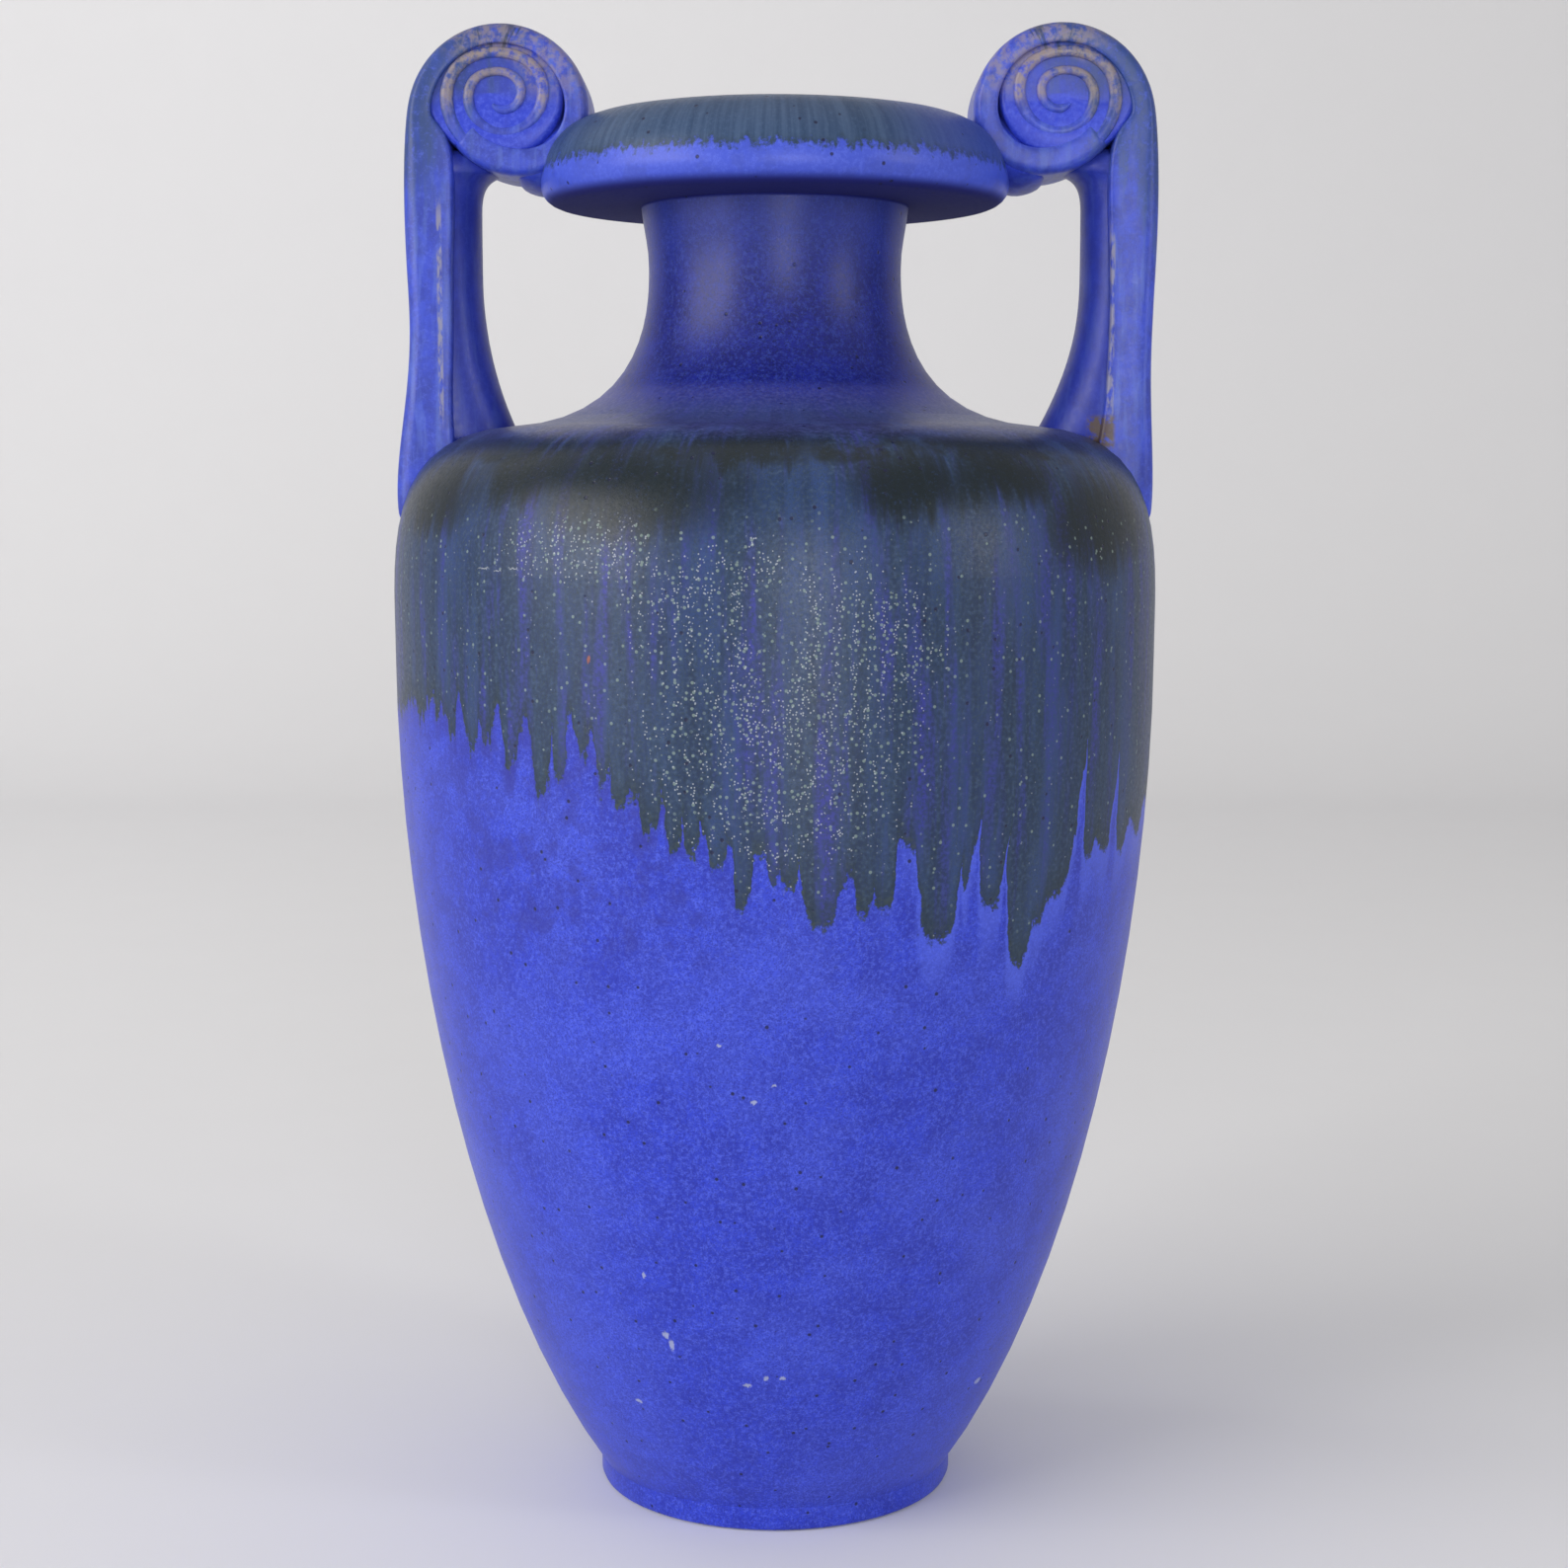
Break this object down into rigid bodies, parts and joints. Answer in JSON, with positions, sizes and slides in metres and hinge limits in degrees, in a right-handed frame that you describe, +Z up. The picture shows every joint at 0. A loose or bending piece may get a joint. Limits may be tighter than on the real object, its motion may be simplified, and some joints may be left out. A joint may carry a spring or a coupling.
{
  "type": "amphora",
  "caption": "Tall glazed stoneware amphora with a narrow neck, a heavy domed lip and scroll-topped strap handles that join shoulder to lip.",
  "frame": {"origin": "centre of the foot ring's resting plane", "axes": "+Z up along the vessel's axis; the two handles lie along +X and -X; the front faces -Y"},
  "size_m": [0.1852, 0.1852, 0.357],
  "materials": {
    "cobalt_glaze": "satin mottled cobalt glaze on stoneware",
    "slate_glaze": "satin slate glaze run over cobalt, speckled with pale crystals",
    "deep_blue_glaze": "satin dark ultramarine glaze where it pools and is shaded",
    "worn_glaze": "thin glaze broken to buff clay on the raised coils"
  },
  "bodies": {
    "root": {"foot_ring": "cobalt_glaze", "lower_body": "cobalt_glaze", "shoulder": "slate_glaze", "neck": "deep_blue_glaze", "lip": "slate_glaze", "left_strap": "cobalt_glaze", "left_rib": "deep_blue_glaze", "left_scroll_core": "deep_blue_glaze", "left_front_coil": "worn_glaze", "left_back_coil": "worn_glaze", "left_lip_pad": "cobalt_glaze", "right_strap": "cobalt_glaze", "right_rib": "deep_blue_glaze", "right_scroll_core": "deep_blue_glaze", "right_front_coil": "worn_glaze", "right_back_coil": "worn_glaze", "right_lip_pad": "cobalt_glaze"}
  },
  "joints": []
}
